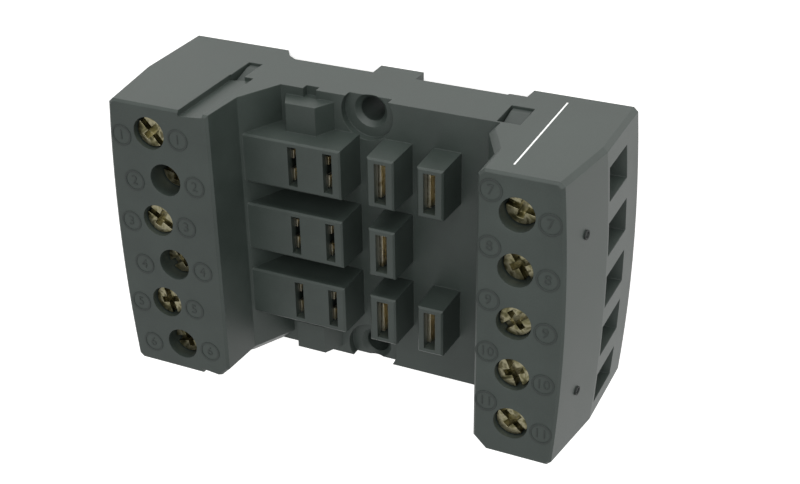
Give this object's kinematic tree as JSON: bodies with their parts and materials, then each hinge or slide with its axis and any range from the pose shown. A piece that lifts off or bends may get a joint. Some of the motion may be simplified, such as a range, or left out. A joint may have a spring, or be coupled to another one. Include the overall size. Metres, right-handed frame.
{
  "type": "relay socket",
  "caption": "Screw-terminal relay socket: two terminal towers with clamp screws, a web of blade-slot contact blocks, panel holes and a spring rail latch.",
  "frame": {"origin": "centre of the mounting face, on the panel or the plane under the rail", "axes": "+X towards the five-screw tower, +Y towards the lettered side, +Z out of the panel"},
  "size_m": [0.0834, 0.05, 0.0297],
  "materials": {
    "moulding": "matte charcoal thermoplastic",
    "cover_moulding": "matte charcoal thermoplastic",
    "latch_moulding": "matte charcoal thermoplastic",
    "screw_zinc": "olive-gold passivated steel",
    "cage_zinc": "passivated steel",
    "spring_steel": "bare spring steel",
    "contact_alloy": "bright tinned brass"
  },
  "bodies": {
    "socket": {"housing": "moulding", "base_cover": "cover_moulding", "rail_latch_spring": "spring_steel", "contact_01": "contact_alloy", "clamp_cage_01": "cage_zinc", "contact_02": "contact_alloy", "clamp_cage_02": "cage_zinc", "contact_03": "contact_alloy", "clamp_cage_03": "cage_zinc", "contact_04": "contact_alloy", "clamp_cage_04": "cage_zinc", "contact_05": "contact_alloy", "clamp_cage_05": "cage_zinc", "contact_06": "contact_alloy", "clamp_cage_06": "cage_zinc", "contact_07": "contact_alloy", "clamp_cage_07": "cage_zinc", "contact_08": "contact_alloy", "clamp_cage_08": "cage_zinc", "contact_09": "contact_alloy", "clamp_cage_09": "cage_zinc", "contact_10": "contact_alloy", "clamp_cage_10": "cage_zinc", "contact_11": "contact_alloy", "clamp_cage_11": "cage_zinc"},
    "latch": {"rail_latch": "latch_moulding"},
    "clamp_01": {"pressure_plate_01": "cage_zinc"},
    "screw_01": {"terminal_screw_01": "screw_zinc"},
    "clamp_02": {"pressure_plate_02": "cage_zinc"},
    "screw_02": {"terminal_screw_02": "screw_zinc"},
    "clamp_03": {"pressure_plate_03": "cage_zinc"},
    "screw_03": {"terminal_screw_03": "screw_zinc"},
    "clamp_04": {"pressure_plate_04": "cage_zinc"},
    "screw_04": {"terminal_screw_04": "screw_zinc"},
    "clamp_05": {"pressure_plate_05": "cage_zinc"},
    "screw_05": {"terminal_screw_05": "screw_zinc"},
    "clamp_06": {"pressure_plate_06": "cage_zinc"},
    "screw_06": {"terminal_screw_06": "screw_zinc"},
    "clamp_07": {"pressure_plate_07": "cage_zinc"},
    "screw_07": {"terminal_screw_07": "screw_zinc"},
    "clamp_08": {"pressure_plate_08": "cage_zinc"},
    "screw_08": {"terminal_screw_08": "screw_zinc"},
    "clamp_09": {"pressure_plate_09": "cage_zinc"},
    "screw_09": {"terminal_screw_09": "screw_zinc"},
    "clamp_10": {"pressure_plate_10": "cage_zinc"},
    "screw_10": {"terminal_screw_10": "screw_zinc"},
    "clamp_11": {"pressure_plate_11": "cage_zinc"},
    "screw_11": {"terminal_screw_11": "screw_zinc"}
  },
  "joints": [
    {"name": "rail_latch_slide", "type": "slide", "parent": "socket", "child": "latch", "axis": [-1, 0, 0], "range_m": [0, 0.0025], "stiffness_N_per_m": 2000, "springref_m": -0.002, "deforming": ["rail_latch_spring"]},
    {"name": "clamp_slide_01", "type": "slide", "parent": "socket", "child": "clamp_01", "axis": [0, 0, 1], "range_m": [-0.0038, 0.0004]},
    {"name": "screw_turn_01", "type": "hinge", "parent": "clamp_01", "child": "screw_01", "pos_m": [-0.0313, 0.02, 0.02], "axis": [0, 0, 1], "range_deg": [-2281.5, 241.5]},
    {"name": "clamp_slide_02", "type": "slide", "parent": "socket", "child": "clamp_02", "axis": [0, 0, 1], "range_m": [-0.0012, 0.003]},
    {"name": "screw_turn_02", "type": "hinge", "parent": "clamp_02", "child": "screw_02", "pos_m": [-0.029, 0.01205, 0.02], "axis": [0, 0, 1], "range_deg": [-721.5, 1801.5]},
    {"name": "clamp_slide_03", "type": "slide", "parent": "socket", "child": "clamp_03", "axis": [0, 0, 1], "range_m": [-0.0038, 0.0004]},
    {"name": "screw_turn_03", "type": "hinge", "parent": "clamp_03", "child": "screw_03", "pos_m": [-0.0313, 0.0041, 0.02], "axis": [0, 0, 1], "range_deg": [-2281.5, 241.5]},
    {"name": "clamp_slide_04", "type": "slide", "parent": "socket", "child": "clamp_04", "axis": [0, 0, 1], "range_m": [-0.0022, 0.002]},
    {"name": "screw_turn_04", "type": "hinge", "parent": "clamp_04", "child": "screw_04", "pos_m": [-0.029, -0.00385, 0.02], "axis": [0, 0, 1], "range_deg": [-1321.5, 1201.5]},
    {"name": "clamp_slide_05", "type": "slide", "parent": "socket", "child": "clamp_05", "axis": [0, 0, 1], "range_m": [-0.0037, 0.0005]},
    {"name": "screw_turn_05", "type": "hinge", "parent": "clamp_05", "child": "screw_05", "pos_m": [-0.0313, -0.0118, 0.02], "axis": [0, 0, 1], "range_deg": [-2221.5, 301.5]},
    {"name": "clamp_slide_06", "type": "slide", "parent": "socket", "child": "clamp_06", "axis": [0, 0, 1], "range_m": [-0.0026, 0.0016]},
    {"name": "screw_turn_06", "type": "hinge", "parent": "clamp_06", "child": "screw_06", "pos_m": [-0.029, -0.01975, 0.02], "axis": [0, 0, 1], "range_deg": [-1561.5, 961.5]},
    {"name": "clamp_slide_07", "type": "slide", "parent": "socket", "child": "clamp_07", "axis": [0, 0, 1], "range_m": [-0.0023, 0.0019]},
    {"name": "screw_turn_07", "type": "hinge", "parent": "clamp_07", "child": "screw_07", "pos_m": [0.0317, 0.0186, 0.02], "axis": [0, 0, 1], "range_deg": [-1381.5, 1141.5]},
    {"name": "clamp_slide_08", "type": "slide", "parent": "socket", "child": "clamp_08", "axis": [0, 0, 1], "range_m": [-0.0027, 0.0015]},
    {"name": "screw_turn_08", "type": "hinge", "parent": "clamp_08", "child": "screw_08", "pos_m": [0.0317, 0.0093, 0.02], "axis": [0, 0, 1], "range_deg": [-1621.5, 901.5]},
    {"name": "clamp_slide_09", "type": "slide", "parent": "socket", "child": "clamp_09", "axis": [0, 0, 1], "range_m": [-0.0036, 0.0006]},
    {"name": "screw_turn_09", "type": "hinge", "parent": "clamp_09", "child": "screw_09", "pos_m": [0.0317, 0, 0.02], "axis": [0, 0, 1], "range_deg": [-2161.5, 361.5]},
    {"name": "clamp_slide_10", "type": "slide", "parent": "socket", "child": "clamp_10", "axis": [0, 0, 1], "range_m": [-0.0038, 0.0004]},
    {"name": "screw_turn_10", "type": "hinge", "parent": "clamp_10", "child": "screw_10", "pos_m": [0.0317, -0.0093, 0.02], "axis": [0, 0, 1], "range_deg": [-2281.5, 241.5]},
    {"name": "clamp_slide_11", "type": "slide", "parent": "socket", "child": "clamp_11", "axis": [0, 0, 1], "range_m": [-0.0037, 0.0005]},
    {"name": "screw_turn_11", "type": "hinge", "parent": "clamp_11", "child": "screw_11", "pos_m": [0.0317, -0.0186, 0.02], "axis": [0, 0, 1], "range_deg": [-2221.5, 301.5]}
  ],
  "couplings": [
    {"joint": "screw_turn_01", "follows": "clamp_slide_01", "rad_per_m": 10472},
    {"joint": "screw_turn_02", "follows": "clamp_slide_02", "rad_per_m": 10472},
    {"joint": "screw_turn_03", "follows": "clamp_slide_03", "rad_per_m": 10472},
    {"joint": "screw_turn_04", "follows": "clamp_slide_04", "rad_per_m": 10472},
    {"joint": "screw_turn_05", "follows": "clamp_slide_05", "rad_per_m": 10472},
    {"joint": "screw_turn_06", "follows": "clamp_slide_06", "rad_per_m": 10472},
    {"joint": "screw_turn_07", "follows": "clamp_slide_07", "rad_per_m": 10472},
    {"joint": "screw_turn_08", "follows": "clamp_slide_08", "rad_per_m": 10472},
    {"joint": "screw_turn_09", "follows": "clamp_slide_09", "rad_per_m": 10472},
    {"joint": "screw_turn_10", "follows": "clamp_slide_10", "rad_per_m": 10472},
    {"joint": "screw_turn_11", "follows": "clamp_slide_11", "rad_per_m": 10472}
  ]
}
